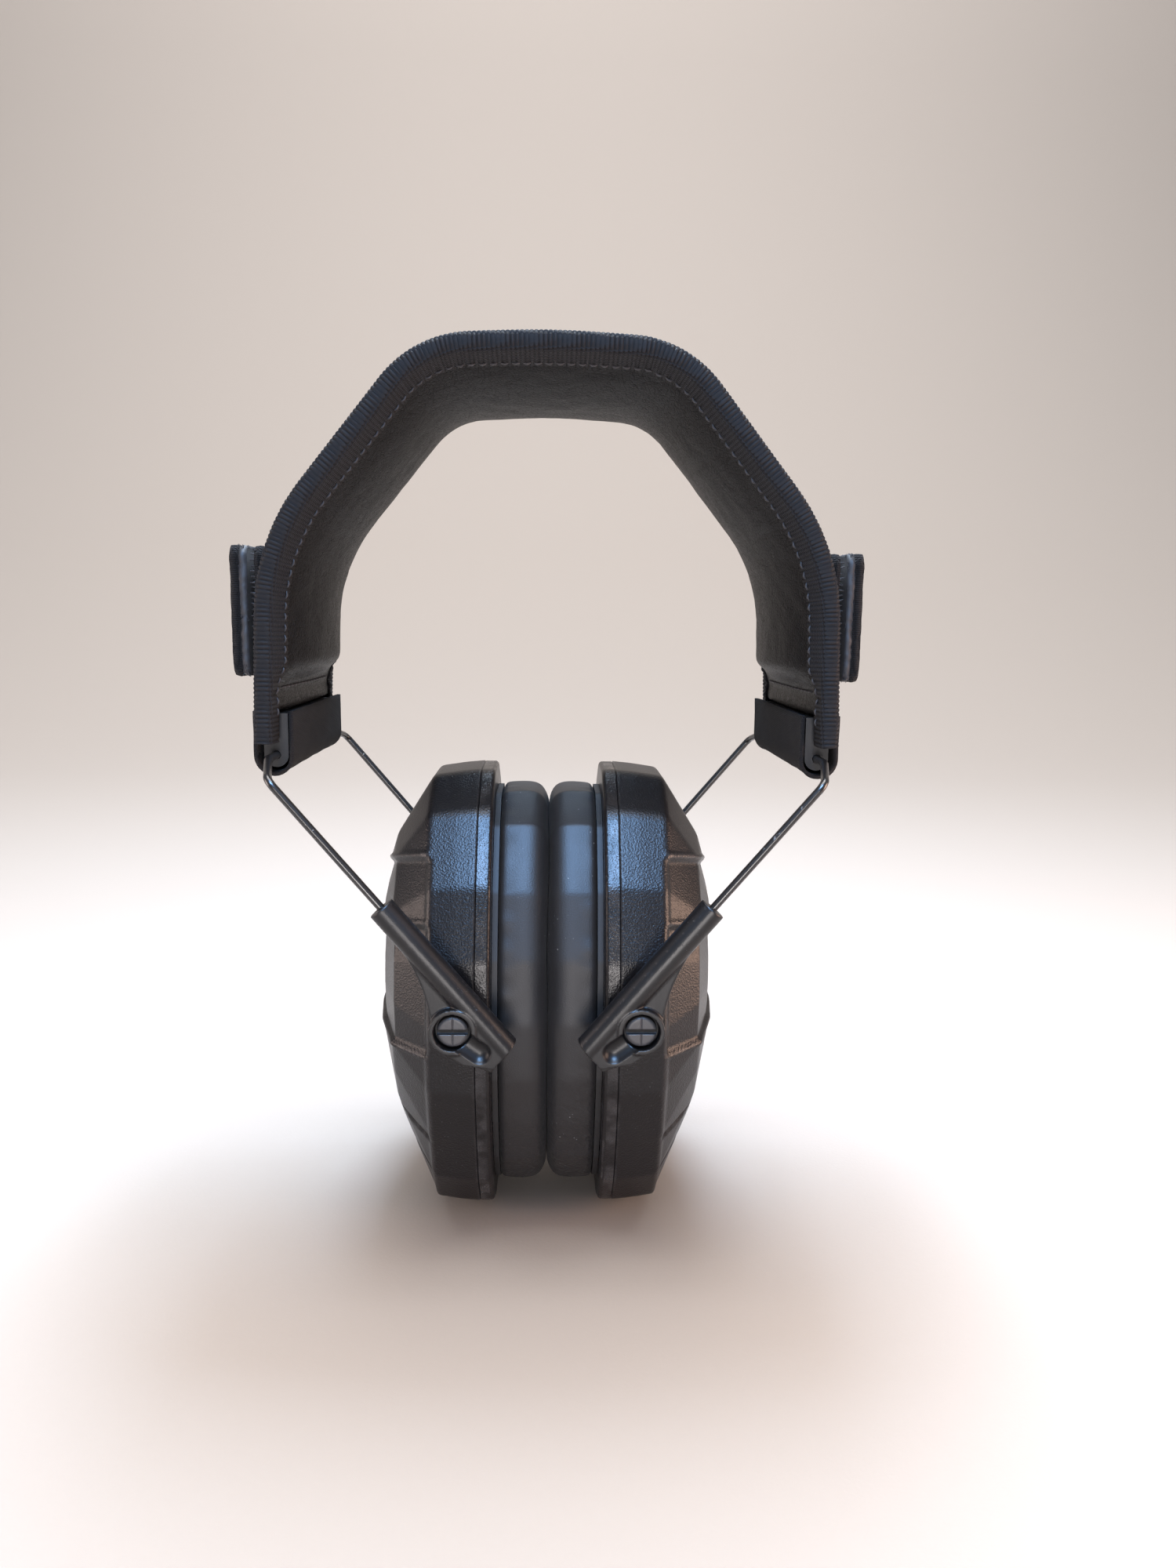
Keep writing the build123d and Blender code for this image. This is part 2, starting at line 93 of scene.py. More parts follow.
class Finish:
    def __init__(self, name, world=None):
        self.material = world or bpy.data.materials.new(name)
        self.material.use_nodes = True
        self.tree = self.material.node_tree
        self.shader = self.tree.nodes["Background" if world else "Principled BSDF"]

    def node(self, kind, settings=None, sockets=None, out=0):
        made = self.tree.nodes.new(kind)
        for key, value in (settings or {}).items():
            if key == "stops":
                while len(made.color_ramp.elements) < len(value):
                    made.color_ramp.elements.new(0.5)
                for stop, (place, shade) in zip(made.color_ramp.elements, value):
                    stop.position = place
                    stop.color = (*shade, 1)
            else:
                setattr(made, key, value)
        for key, value in (sockets or {}).items():
            if isinstance(value, Signal):
                self.tree.links.new(value.socket, made.inputs[key])
            elif value is not None:
                made.inputs[key].default_value = value
        return Signal(self, made.outputs[out])

    def place(self):                       # position in the frame, in metres
        return self.node("ShaderNodeTexCoord", out=3)

    def cut(self):                         # position on the flat cloth, in metres
        return self.node("ShaderNodeUVMap", dict(uv_map="cut"))

    def axes(self, spot):
        split = self.node("ShaderNodeSeparateXYZ", None, {0: spot}).socket.node
        return [Signal(self, out) for out in split.outputs]

    def speckle(self, scale, detail=3.0, rough=0.5, spot=None, warp=0.0):
        return self.node("ShaderNodeTexNoise", None, {
            "Vector": spot or self.place(), "Scale": scale, "Detail": detail, "Roughness": rough,
            "Distortion": warp})

    def cells(self, scale, feature="F1", spot=None, spread=1.0):
        return self.node("ShaderNodeTexVoronoi", dict(feature=feature),
                         {"Vector": spot or self.place(), "Scale": scale, "Randomness": spread})

    def blend(self, mask, first, second):
        made = self.node("ShaderNodeMix", dict(data_type="RGBA"), {0: mask}).socket.node
        for value, socket in ((first, made.inputs[6]), (second, made.inputs[7])):
            if isinstance(value, Signal):
                self.tree.links.new(value.socket, socket)
            else:
                socket.default_value = (*value, 1)
        return Signal(self, made.outputs[2])

    def bump(self, height, depth, under=None, strength=1.0):
        return self.node("ShaderNodeBump", None, {
            "Height": height, "Distance": depth, "Strength": strength, "Normal": under})

    def use(self, **sockets):
        for key, value in sockets.items():
            target = self.shader.inputs[{
                "color": "Base Color", "rough": "Roughness", "metal": "Metallic", "normal": "Normal",
                "specular": "Specular IOR Level", "sheen": "Sheen Weight", "sheenRough": "Sheen Roughness",
                "coat": "Coat Weight", "coatRough": "Coat Roughness", "ior": "IOR"}[key]]
            if isinstance(value, Signal):
                self.tree.links.new(value.socket, target)
            elif isinstance(value, tuple):
                target.default_value = (*value, 1)
            else:
                target.default_value = value
        return self.material


# finishes
dustTint = (0.32, 0.34, 0.38)


def dust(finish, color, amount=0.5, scale=900):        # sparse pale specks lying on a surface
    specks = finish.cells(scale).above(0.075, 0.03)
    patches = finish.speckle(60, 2).above(0.56, 0.08)
    return finish.blend((1 - specks) * patches * amount, color, dustTint)


def pebbledPlastic(name, grain=2700, depth=0.00007, rough=0.3, tone=(0.0065, 0.0063, 0.008)):
    finish = Finish(name)
    broad = finish.speckle(18, 3)
    pebbles = finish.cells(grain, "SMOOTH_F1")
    fine = finish.speckle(grain * 1.7, 2)
    edge = finish.node("ShaderNodeNewGeometry", out=7).above(0.535, 0.03)
    worn = edge * finish.speckle(240, 4).above(0.5, 0.15)
    color = finish.blend(broad.above(0.5, 0.3) * 0.5, tone, tuple(c * 1.5 for c in tone))
    color = finish.blend(worn * 0.35, color, (0.09, 0.09, 0.1))
    color = dust(finish, color, 0.35)
    normal = finish.bump(pebbles + fine * 0.5, depth)
    return finish.use(color=color, rough=rough + broad * 0.12 - worn * 0.08, normal=normal,
                      specular=0.42, ior=1.42)


def satinPlastic(name, rough=0.3, tone=(0.005, 0.0052, 0.0068)):
    finish = Finish(name)
    broad = finish.speckle(45, 4)
    stretched = finish.node("ShaderNodeMapping", None, {
        "Vector": finish.place(), "Scale": (1.0, 0.3, 0.3), "Rotation": (0, 0.7, 0)})
    flow = finish.speckle(900, 3, spot=stretched)
    scuffs = finish.speckle(700, 5, 0.7, warp=2.0).above(0.66, 0.03)
    edge = finish.node("ShaderNodeNewGeometry", out=7).above(0.56, 0.04)
    color = finish.blend(broad * 0.6, tone, (0.009, 0.009, 0.011))
    color = finish.blend(edge * 0.35, color, (0.05, 0.05, 0.054))
    color = dust(finish, color, 0.3, 1200)
    normal = finish.bump(flow + scuffs * 0.4, 0.00003)
    return finish.use(color=color, rough=rough + broad * 0.16 + scuffs * 0.12, normal=normal, specular=0.4)


def slottedHead(name, floor=0.0433):       # bright face; the slots and edge below it are painted near-black as shade
    finish = Finish(name)
    _, toBack, _ = finish.axes(finish.place())
    face = toBack.size().above(floor, 0.0002)
    turned = finish.speckle(700, 3, 0.6)
    # painted shade: everything below the face, the slots and the rim of the head, gets the near-black colour
    color = finish.blend(face, (0.002, 0.002, 0.003), (0.045, 0.047, 0.056))
    color = dust(finish, color, 0.3, 1300)
    return finish.use(color=color, rough=0.34 + turned * 0.2 + (1 - face) * 0.3, specular=0.5,
                      normal=finish.bump(turned, 0.00004))


def softVinyl(name):
    finish = Finish(name)
    broad = finish.speckle(30, 3)
    pores = finish.cells(3600, "SMOOTH_F1")
    rub = finish.speckle(14, 2).above(0.5, 0.12)
    ripples = finish.node("ShaderNodeTexWave", dict(wave_type="BANDS", bands_direction="DIAGONAL"), {
        "Vector": finish.place(), "Scale": 210, "Distortion": 9.0, "Detail": 3.0, "Detail Scale": 1.6})
    color = finish.blend(broad, (0.015, 0.0145, 0.0165), (0.024, 0.0228, 0.025))
    color = dust(finish, color, 0.8, 620)
    normal = finish.bump(pores, 0.00003)
    normal = finish.bump(ripples * rub, 0.00009, normal)
    return finish.use(color=color, rough=0.45 + broad * 0.12, normal=normal, specular=0.42,
                      sheen=0.03, sheenRough=0.5)


def leatherette(name, grain=1150, depth=0.00009, rough=0.36):
    finish = Finish(name)
    broad = finish.speckle(35, 3)
    skin = finish.node("ShaderNodeMix", dict(data_type="VECTOR"), {
        0: 0.0006, 4: finish.place(), 5: finish.node("ShaderNodeTexNoise", None, {
            "Vector": finish.place(), "Scale": 900.0}, out=1)}, out=1)
    plates = finish.cells(grain, "DISTANCE_TO_EDGE", skin).above(0.06, 0.06)
    fine = finish.speckle(4200, 2)
    creases = finish.speckle(160, 4, 0.6, warp=1.2)
    color = finish.blend(broad, (0.005, 0.0046, 0.0052), (0.009, 0.0085, 0.009))
    # painted shade: the crevices between the grain plates are darkened
    color = finish.blend((1 - plates) * 0.4, color, (0.002, 0.002, 0.0025))
    color = dust(finish, color, 0.3, 1000)
    normal = finish.bump(plates + fine * 0.3, depth)
    normal = finish.bump(creases, 0.00028, normal)
    return finish.use(color=color, rough=rough + broad * 0.1 + (1 - plates) * 0.1, normal=normal, specular=0.32,
                      ior=1.25)


def wovenCloth(name, pitch=0.0007, tone=(0.004, 0.004, 0.005), pale=(0.020, 0.0195, 0.023), rough=0.85):
    finish = Finish(name)
    along, across, _ = finish.axes(finish.cut())
    turn = 2 * math.pi / pitch
    warp = (along * turn + (across * turn * 0.5).sine() * 0.4).sine()
    weft = (across * turn).sine()
    weave = (warp * weft).size() ** 0.6
    lint = finish.speckle(2200, 4, 0.7)
    # painted highlight and shade: the crowns of the weave are pale and the gaps between the threads dark; lint
    # adds fibre tone
    color = finish.blend(weave * 0.8 + lint * 0.3, tone, pale)
    normal = finish.bump(weave + lint * 0.5, pitch * 0.32)
    return finish.use(color=color, rough=rough + lint * 0.15, normal=normal, sheen=0.04, sheenRough=0.45,
                      specular=0.3, ior=1.3)


def grosgrain(name, thread=0.00042):
    finish = Finish(name)
    along, across, _ = finish.axes(finish.cut())
    twist = (across * (2 * math.pi / thread) + along * 900.0).sine()
    lint = finish.speckle(3200, 4, 0.7)
    faded = finish.speckle(40, 3)
    # painted highlight and shade: the rib crowns are pale and the valleys between them dark, following the
    # ribs; twist and lint add fibre tone
    crown = (along * (math.pi / (0.95 * mm))).sine().size()
    ribLightAndFibre = crown * 0.6 + twist * 0.12 + lint * 0.25
    color = finish.blend(ribLightAndFibre, (0.003, 0.003, 0.004), (0.019, 0.0195, 0.024))
    color = finish.blend(faded * 0.2, color, (0.024, 0.025, 0.03))
    normal = finish.bump(twist + lint * 0.8, 0.00007)
    return finish.use(color=color, rough=0.6 + lint * 0.2, normal=normal, sheen=0.03, sheenRough=0.4,
                      specular=0.35, ior=1.3)


def threadFinish(name, tone=(0.012, 0.012, 0.016)):
    finish = Finish(name)
    fibre = finish.speckle(6000, 3, 0.7)
    normal = finish.bump(fibre, 0.00006)
    return finish.use(color=finish.blend(fibre, tone, tuple(c * 2.4 for c in tone)), rough=0.5 + fibre * 0.2,
                      normal=normal, sheen=0.06)


def coatedWire(name):
    finish = Finish(name)
    chips = finish.speckle(420, 5, 0.65).above(0.69, 0.015)
    drips = finish.speckle(500, 3)
    color = finish.blend(chips, (0.012, 0.012, 0.014), (0.16, 0.15, 0.14))
    normal = finish.bump(drips - chips * 0.6, 0.00004)
    return finish.use(color=color, rough=0.24 + drips * 0.12 + chips * 0.2, metal=chips * 0.8, normal=normal,
                      coat=0.3, coatRough=0.15)


def plainSteel(name, tone=(0.42, 0.42, 0.43), rough=0.32):
    finish = Finish(name)
    brushed = finish.speckle(1500, 3, spot=finish.node(
        "ShaderNodeMapping", None, {"Vector": finish.place(), "Scale": (1.0, 0.05, 1.0)}))
    color = finish.blend(brushed, tone, tuple(c * 0.7 for c in tone))
    return finish.use(color=color, rough=rough + brushed * 0.15, metal=1.0,
                      normal=finish.bump(brushed, 0.00002))


def openFoam(name, tone=(0.035, 0.035, 0.038), pale=(0.10, 0.10, 0.105)):
    finish = Finish(name)
    pores = finish.cells(1500)
    fine = finish.speckle(3000, 3)
    # painted shade: the pits of the pores are darker than the foam around them
    color = finish.blend(pores * 0.8 + fine * 0.3, tone, pale)
    return finish.use(color=color, rough=0.92, normal=finish.bump(pores + fine * 0.4, 0.0005), specular=0.15,
                      sheen=0.2)


shellFinish = pebbledPlastic("pebbledShell")
ringFinish = pebbledPlastic("pebbledRing", rough=0.27, depth=0.00006)
armFinish = satinPlastic("satinArm")
screwFinish = satinPlastic("screwSteel", rough=0.25, tone=(0.03, 0.031, 0.035))
headFinish = slottedHead("slottedHead")
clipFinish = satinPlastic("clipPlastic", rough=0.4)
plateFinish = satinPlastic("platePlastic", rough=0.5, tone=(0.004, 0.004, 0.005))
vinylFinish = softVinyl("cushionVinyl")
padFinish = leatherette("padLeatherette")
coverFinish = leatherette("coverLeatherette", grain=1000, rough=0.4)
tapeFinish = grosgrain("grosgrainTape")
tabFinish = wovenCloth("tabCloth", 0.0006)
backingFinish = wovenCloth("patchBacking", 0.0009, pale=(0.018, 0.018, 0.022))
loopFinish = threadFinish("loopFluff", (0.014, 0.0145, 0.019))
hookFinish = threadFinish("hookNylon", (0.03, 0.031, 0.038))
threadBlack = threadFinish("sewingThread")
wireFinish = coatedWire("coatedWire")
steelFinish = plainSteel("springSteel")
ferruleFinish = plainSteel("ferruleSteel", rough=0.4)
nylonFinish = satinPlastic("nylonWasher", rough=0.35, tone=(0.45, 0.45, 0.43))
foamFinish = openFoam("acousticFoam")
print("finishes ready")


# mesh helpers
def gridFaces(rows, columns, round=True, loop=False, caps=False):
    faces = []
    for row in range(rows if loop else rows - 1):
        for column in range(columns if round else columns - 1):
            beside = (column + 1) % columns
            above = (row + 1) % rows
            faces.append((row * columns + column, row * columns + beside,
                          above * columns + beside, above * columns + column))
    if caps:
        faces.append(tuple(range(columns)))
        faces.append(tuple(range((rows - 1) * columns, rows * columns)))
    return faces


def newPiece(name, points, faces, finish, body, stands=(), cut=None):
    mesh = bpy.data.meshes.new(name)
    mesh.from_pydata([tuple(p) for p in points], [], faces)
    if cut:
        layer = mesh.uv_layers.new(name="cut")
        for loop in mesh.loops:
            layer.data[loop.index].uv = cut[loop.vertex_index]
    shape = bmesh.new()
    shape.from_mesh(mesh)
    bmesh.ops.recalc_face_normals(shape, faces=shape.faces)
    shape.to_mesh(mesh)
    shape.free()
    piece = bpy.data.objects.new(name, mesh)
    bpy.context.scene.collection.objects.link(piece)
    return dress(piece, finish, body, stands)


def dress(piece, finish, body, stands=()):
    piece.data.materials.clear()
    piece.data.materials.append(finish)
    piece.data.shade_smooth()
    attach(piece, body)
    if stands:
        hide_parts(*stands)
    return piece


def settle(piece, kind, **settings):       # adds one modifier and applies it
    modifier = piece.modifiers.new(kind.lower(), kind)
    for key, value in settings.items():
        setattr(modifier, key, value)
    graph = bpy.context.evaluated_depsgraph_get()
    result = bpy.data.meshes.new_from_object(piece.evaluated_get(graph), depsgraph=graph)
    piece.modifiers.clear()
    old = piece.data
    piece.data = result
    bpy.data.meshes.remove(old)


def bentLine(corners, radii, step=0.5):
    corners = [Vector(c) for c in corners]
    dots = [corners[0]]
    for before, corner, after, radius in zip(corners, corners[1:], corners[2:], radii):
        come = (corner - before).normalized()
        go = (after - corner).normalized()
        turn = math.acos(max(-1, min(1, come.dot(go))))
        reach = radius * math.tan(turn / 2)
        for bit in range(13):
            share = bit / 12
            start = corner - come * reach
            end = corner + go * reach
            weight = 2 * (1 - share) * share * math.cos(turn / 2)
            total = (1 - share) ** 2 + weight + share ** 2
            dots.append((start * (1 - share) ** 2 + corner * weight + end * share ** 2) / total)
    dots.append(corners[-1])
    return evenly(dots, step)


def evenly(dots, step, loop=False):        # the same line with its points evenly spaced
    if loop:
        dots = [*dots, dots[0]]
    lengths = [0.0]
    for first, second in zip(dots, dots[1:]):
        lengths.append(lengths[-1] + (second - first).length)
    count = max(2, round(lengths[-1] / step))
    spaced = []
    part = 0
    for index in range(count if loop else count + 1):
        target = lengths[-1] * index / count
        while part < len(dots) - 2 and lengths[part + 1] < target:
            part += 1
        share = (target - lengths[part]) / max(1e-9, lengths[part + 1] - lengths[part])
        spaced.append(dots[part].lerp(dots[part + 1], share))
    return spaced


def smoothStep(low, high, value):
    share = max(0.0, min(1.0, (value - low) / (high - low)))
    return share * share * (3 - 2 * share)


def tube(line, radius, sides=6):
    rings = []
    for index, spot in enumerate(line):
        ahead = (line[min(index + 1, len(line) - 1)] - line[max(index - 1, 0)]).normalized()
        first = ahead.orthogonal().normalized() if index == 0 else (last - ahead * last.dot(ahead)).normalized()
        last = first
        second = ahead.cross(first)
        size = radius(index / (len(line) - 1)) if callable(radius) else radius
        rings += [spot + (first * math.cos(a) + second * math.sin(a)) * size
                  for a in (2 * math.pi * k / sides for k in range(sides))]
    return rings, gridFaces(len(line), sides, caps=True)


def gather(parts):                         # joins several (points, faces) into one
    points, faces = [], []
    for morePoints, moreFaces in parts:
        faces += [tuple(i + len(points) for i in face) for face in moreFaces]
        points += morePoints
    return points, faces


def stitches(seam, pitch=2.6, length=2.0, thick=0.22, rise=0.1):
    # seam: (spot, out) pairs in millimetres; each stitch is a short thread that dips at both ends
    spots = evenly([s for s, _ in seam], 0.25)
    outs = [o for _, o in seam]
    parts = []
    every = round(pitch / 0.25)
    reach = round(length / 0.25 / 2)
    for middle in range(every, len(spots) - every, every):
        out = outs[min(len(outs) - 1, int(middle / len(spots) * len(outs)))]
        wander = random.uniform(-0.06, 0.06)
        line = []
        for step in range(-reach, reach + 1):
            dip = (step / reach) ** 2
            line.append((spots[middle + step] + out * (rise - dip * 0.28) + Vector((0, wander, 0))) * mm)
        parts.append(tube(line, lambda t: thick * mm * (0.75 + 0.5 * math.sin(math.pi * t))))
    return gather(parts)


def puff(piece, sewn, pressure, cap, frames=14):
    # blows a closed skin up a little; the sewn points stay, and no point moves further than the cap
    scene = bpy.context.scene
    start = [v.co.copy() for v in piece.data.vertices]
    held = piece.vertex_groups.new(name="sewn")
    held.add(sewn, 1.0, "REPLACE")
    cloth = piece.modifiers.new("puff", "CLOTH")
    cloth.settings.quality = 5
    cloth.settings.mass = 0.02
    cloth.settings.tension_stiffness = 5
    cloth.settings.compression_stiffness = 5
    cloth.settings.shear_stiffness = 2
    cloth.settings.bending_stiffness = 0.02
    cloth.settings.use_pressure = True
    cloth.settings.uniform_pressure_force = pressure
    cloth.settings.vertex_group_mass = "sewn"
    cloth.settings.effector_weights.gravity = 0
    cloth.point_cache.frame_start = 1
    cloth.point_cache.frame_end = frames
    for moment in range(1, frames + 1):
        scene.frame_set(moment)
    graph = bpy.context.evaluated_depsgraph_get()
    moved = [v.co.copy() for v in piece.evaluated_get(graph).data.vertices]
    piece.modifiers.clear()
    piece.vertex_groups.clear()
    scene.frame_set(1)
    furthest = 0
    for vertex, old, new in zip(piece.data.vertices, start, moved):
        shift = new - old
        furthest = max(furthest, shift.length)
        vertex.co = old + shift * min(1, cap / max(shift.length, 1e-9))
    print("puffed", piece.name, "furthest", round(furthest / mm, 2), "mm")


# headband
band = dict(end=(61.2, 113.0), side=(59.7, 156.7), shoulder=(27.2, 196.9), top=(0, 198.25),
            sideBend=45.0, shoulderBend=24.0, topBend=200.0)


def bandLine(endZ, step):                  # (spot, inward, travel) along the outer face, right end first
    share = (endZ - band["end"][1]) / (band["side"][1] - band["end"][1])
    endX = band["end"][0] + (band["side"][0] - band["end"][0]) * share
    half = [(endX, endZ), band["side"], band["shoulder"]]
    corners = [*half, band["top"], *[(-x, z) for x, z in reversed(half)]]
    bends = [band["sideBend"], band["shoulderBend"], band["topBend"], band["shoulderBend"], band["sideBend"]]
    dots = bentLine([(x, 0, z) for x, z in corners], bends, step)
    line = []
    travel = 0.0
    for index, spot in enumerate(dots):
        ahead = (dots[min(index + 1, len(dots) - 1)] - dots[max(index - 1, 0)]).normalized()
        if index:
            travel += (spot - dots[index - 1]).length
        line.append((spot, Vector((-ahead.z, 0, ahead.x)), travel))
    if line[len(line) // 2][1].z > 0:
        line = [(spot, -inward, travel) for spot, inward, travel in line]
    return line


def bandSweep(line, section, caps=True):
    points, cut = [], []
    for spot, inward, travel in line:
        for y, depth in section(travel):
            points.append((spot + inward * depth + Vector((0, y, 0))) * mm)
            cut.append((travel * mm, y * mm))
    columns = len(points) // len(line)
    return points, gridFaces(len(line), columns, caps=caps), cut


pad = dict(crown=10.0, edge=3.0, hem=5.5, swell=5.5, halfWidth=30.3, back=2.05, endZ=121.4,
           rows=1.3, columns=34, pressure=0.35, cap=0.6, creases=26, fill=0.7)
padLine = bandLine(pad["endZ"], pad["rows"])
padLength = padLine[-1][2]
creaseMarks = [(random.gauss(random.choice((0.2, 0.34, 0.66, 0.8)) * padLength, 7), random.uniform(-22, 22),
                random.uniform(0.12, 0.34), random.uniform(-0.12, 0.12)) for _ in range(pad["creases"])]


def padDepth(travel, y):
    fromEnd = min(travel, padLength - travel)
    full = smoothStep(pad["hem"], pad["hem"] + pad["swell"], fromEnd)
    dome = max(0.0, 1 - (y / pad["halfWidth"]) ** 2) ** 0.85
    depth = pad["edge"] + (pad["crown"] - pad["edge"]) * dome * (0.12 + 0.88 * full)
    for place, side, deep, lean in creaseMarks:
        across = abs(travel - place - lean * (y - side))
        if across < 2.4:
            depth -= deep * full * math.exp(-(across / 0.8) ** 2) * math.exp(-((y - side) / 11) ** 2)
    depth += 0.25 * full * dome * noise.noise(Vector((travel / 14, y / 12, 3.1)))
    hemSeam = abs(fromEnd - pad["hem"] * 0.72)
    return depth - 0.45 * math.exp(-(hemSeam / 0.7) ** 2)


def padSection(travel):
    width = pad["halfWidth"]
    columns = pad["columns"]
    ys = [width * math.sin(math.pi / 2 * (2 * k / (columns - 1) - 1)) for k in range(columns)]
    inner = [(y, padDepth(travel, y)) for y in ys]
    back = [(y, pad["back"]) for y in ys[-2:0:-4]]
    return inner + back


points, faces, cut = bandSweep(padLine, padSection)
padPiece = newPiece("headbandPad", points, faces, padFinish, "headband",
                    ["band_inner_cover", "band_foam"], cut)
columnCount = len(points) // len(padLine)
sewn = [i for i in range(len(points)) if i % columnCount in (0, 1) or i % columnCount >= pad["columns"] - 2
        or i // columnCount < 8 or i // columnCount >= len(padLine) - 8]
puff(padPiece, sewn, pad["pressure"], pad["cap"] * mm)
settle(padPiece, "SUBSURF", levels=1)
padPiece.data.shade_smooth()

cover = dict(halfWidth=30.3, thick=0.85, rows=1.2, columns=26)


def coverSection(travel):
    width = cover["halfWidth"]
    ys = [width * (2 * k / (cover["columns"] - 1) - 1) for k in range(cover["columns"])]
    skin = []
    for y in ys:
        wave = 0.16 * noise.noise(Vector((travel / 9, y / 7, 8.0)))
        wave += 0.1 * noise.noise(Vector((travel / 3, y / 4, 2.0)))
        skin.append((y, 0.05 + wave * 0.6 - 0.25 * (1 - (y / width) ** 2)))
    return skin + [(y, cover["thick"] + 0.05) for y in ys[::-3]]


points, faces, cut = bandSweep(bandLine(pad["endZ"], cover["rows"]), coverSection)
newPiece("headbandCover", points, faces, coverFinish, "headband",
         ["band_outer_cover"], cut)

binding = dict(endZ=115.2, ribPitch=0.95, perRib=5, ribRise=0.2, thick=0.55, over=0.45)
bindingPath = [(26.3, -0.45), (28.2, -0.5), (30.2, -0.5), (31.15, -0.2), (31.45, 0.6), (31.5, 1.8),
               (31.4, 2.8), (30.9, 3.45), (29.6, None), (28.0, None), (26.5, None)]


def onPad(travel, y):                      # the tape's height where it lies on the pad
    return padDepth(max(0.0, min(padLength, travel - pad["endZ"] + binding["endZ"])), y) + binding["over"]


def bindingSection(travel):
    rib = abs(math.sin(math.pi * travel / binding["ribPitch"])) ** 0.7
    drift = 0.12 * noise.noise(Vector((travel / 2.5, 5.0, 0)))
    drift += 0.2 * noise.noise(Vector((travel / 15, 1.0, 0)))
    selvedge = 0.35 * abs(math.sin(math.pi * travel / (2 * binding["ribPitch"]))) + drift
    outside, inside = [], []
    path = [(y, onPad(travel, y) if depth is None else depth) for y, depth in bindingPath]
    last = len(path) - 1
    for index, (y, depth) in enumerate(path):
        yNext, depthNext = path[min(index + 1, last)]
        yLast, depthLast = path[max(index - 1, 0)]
        run = Vector((yNext - yLast, depthNext - depthLast)).normalized()
        out = Vector((run.y, -run.x))
        if index in (0, last):
            y -= selvedge
        rise = (rib - 0.5) * binding["ribRise"] + drift * 0.25
        outside.append((y + out.x * rise, depth + out.y * rise))
        inside.append((y - out.x * binding["thick"], depth - out.y * binding["thick"]))
    return outside + inside[::-1]


bindingLine = bandLine(binding["endZ"], binding["ribPitch"] / binding["perRib"])
for name, side in (("rear", 1), ("front", -1)):
    points, faces, cut = bandSweep(bindingLine, bindingSection)
    points = [Vector((p.x, p.y * side, p.z)) for p in points]
    newPiece(f"{name}BindingTape", points, faces, tapeFinish, "headband",
             [f"{name}_binding"], cut)
    seamLine = bandLine(binding["endZ"] + 3, 0.5)
    inner = [(spot + inward * (onPad(travel + 3, 27.4) + 0.12) + Vector((0, side * 27.4, 0)), inward)
             for spot, inward, travel in seamLine]
    outer = [(spot - inward * 0.62 + Vector((0, side * 27.8, 0)), -inward) for spot, inward, _ in seamLine]
    for seamName, seam in (("Inner", inner), ("Outer", outer)):
        points, faces = stitches(seam, 2.3, 1.7, 0.2)
        newPiece(f"{name}{seamName}Stitches", points, faces, threadBlack, "headband")
print("headband made")

# ends of the headband
hinge = dict(x=58.6, z=112.0)
tab = dict(halfWidth=26.2, radius=3.15, thick=0.9, top=121.6)


def tabPiece(sideName, side):
    profile = [(tab["radius"], tab["top"] - k * 1.2) for k in range(8)]
    profile += [(tab["radius"] * math.cos(a), hinge["z"] - tab["radius"] * math.sin(a))
                for a in (math.pi * k / 14 for k in range(15))]
    profile += [(-tab["radius"], hinge["z"] + 1.2 * (k + 1)) for k in range(8)]
    rows = 64
    points, cut = [], []
    for row in range(rows):
        y = tab["halfWidth"] * (2 * row / (rows - 1) - 1)
        skins = []
        for index, (x, z) in enumerate(profile):
            wave = 0.3 * noise.noise(Vector((index / 3.5, y / 6, side * 4.0)))
            flare = 0.25 * (abs(y) / tab["halfWidth"]) ** 6
            out = Vector((x, 0, min(0, z - hinge["z"]))).normalized()
            skins.append((out, Vector((hinge["x"] + x, y, z)) + out * (wave * 0.5 + flare)))
        ring = [spot + out * tab["thick"] * 0.9 for out, spot in skins] + [spot for _, spot in reversed(skins)]
        points += [Vector((p.x * side, p.y, p.z)) * mm for p in ring]
        cut += [(p.z * mm, p.y * mm) for p in ring]
    newPiece(f"{sideName}BandTab", points, gridFaces(rows, 2 * len(profile), caps=True), tabFinish, "headband",
             [f"{sideName}_end_tab"], cut)


for sideName, side in sides:
    tabPiece(sideName, side)
    hemPath = [(y, padDepth(5.8, y)) for y in (-24.5 + 49.0 * k / 95 for k in range(96))]
    where = padLine if side == 1 else padLine[::-1]
    spot, inward = where[4][0], where[4][1]
    hemSeam = [(spot + inward * (depth + 0.1) + Vector((0, y, 0)), inward) for y, depth in hemPath]
    points, faces = stitches(hemSeam, 3.0, 2.3, 0.2)
    newPiece(f"{sideName}HemStitches", points, faces, threadBlack, "headband")
    tabSeam = [(Vector((side * (hinge["x"] + tab["radius"] + tab["thick"] + 0.1), -24 + k * 0.5, 118.4)),
                Vector((side, 0, 0))) for k in range(97)]
    points, faces = stitches(tabSeam, 2.8, 2.2, 0.2)
    newPiece(f"{sideName}TabStitches", points, faces, threadBlack, "headband")
print("band ends made")

# hook-and-loop patches
patch = dict(low=129.0, high=156.0, halfWidth=25.0, seam=63.2, face=66.9, hookPitch=1.45,
             hookThick=0.17)


def roundedPlate(halfY, low, high, radius, count=28):
    middle = (low + high) / 2
    halfZ = (high - low) / 2
    corners = []
    for cornerY, cornerZ, start in ((1, 1, 0), (-1, 1, 90), (-1, -1, 180), (1, -1, 270)):
        for bit in range(6):
            a = math.radians(start + 18 * bit)
            corners.append(Vector((0, cornerY * (halfY - radius) + radius * math.cos(a),
                                   middle + cornerZ * (halfZ - radius) + radius * math.sin(a))))
    return evenly(corners, 2 * (halfY + halfZ) * 2 / count / 4, loop=True)


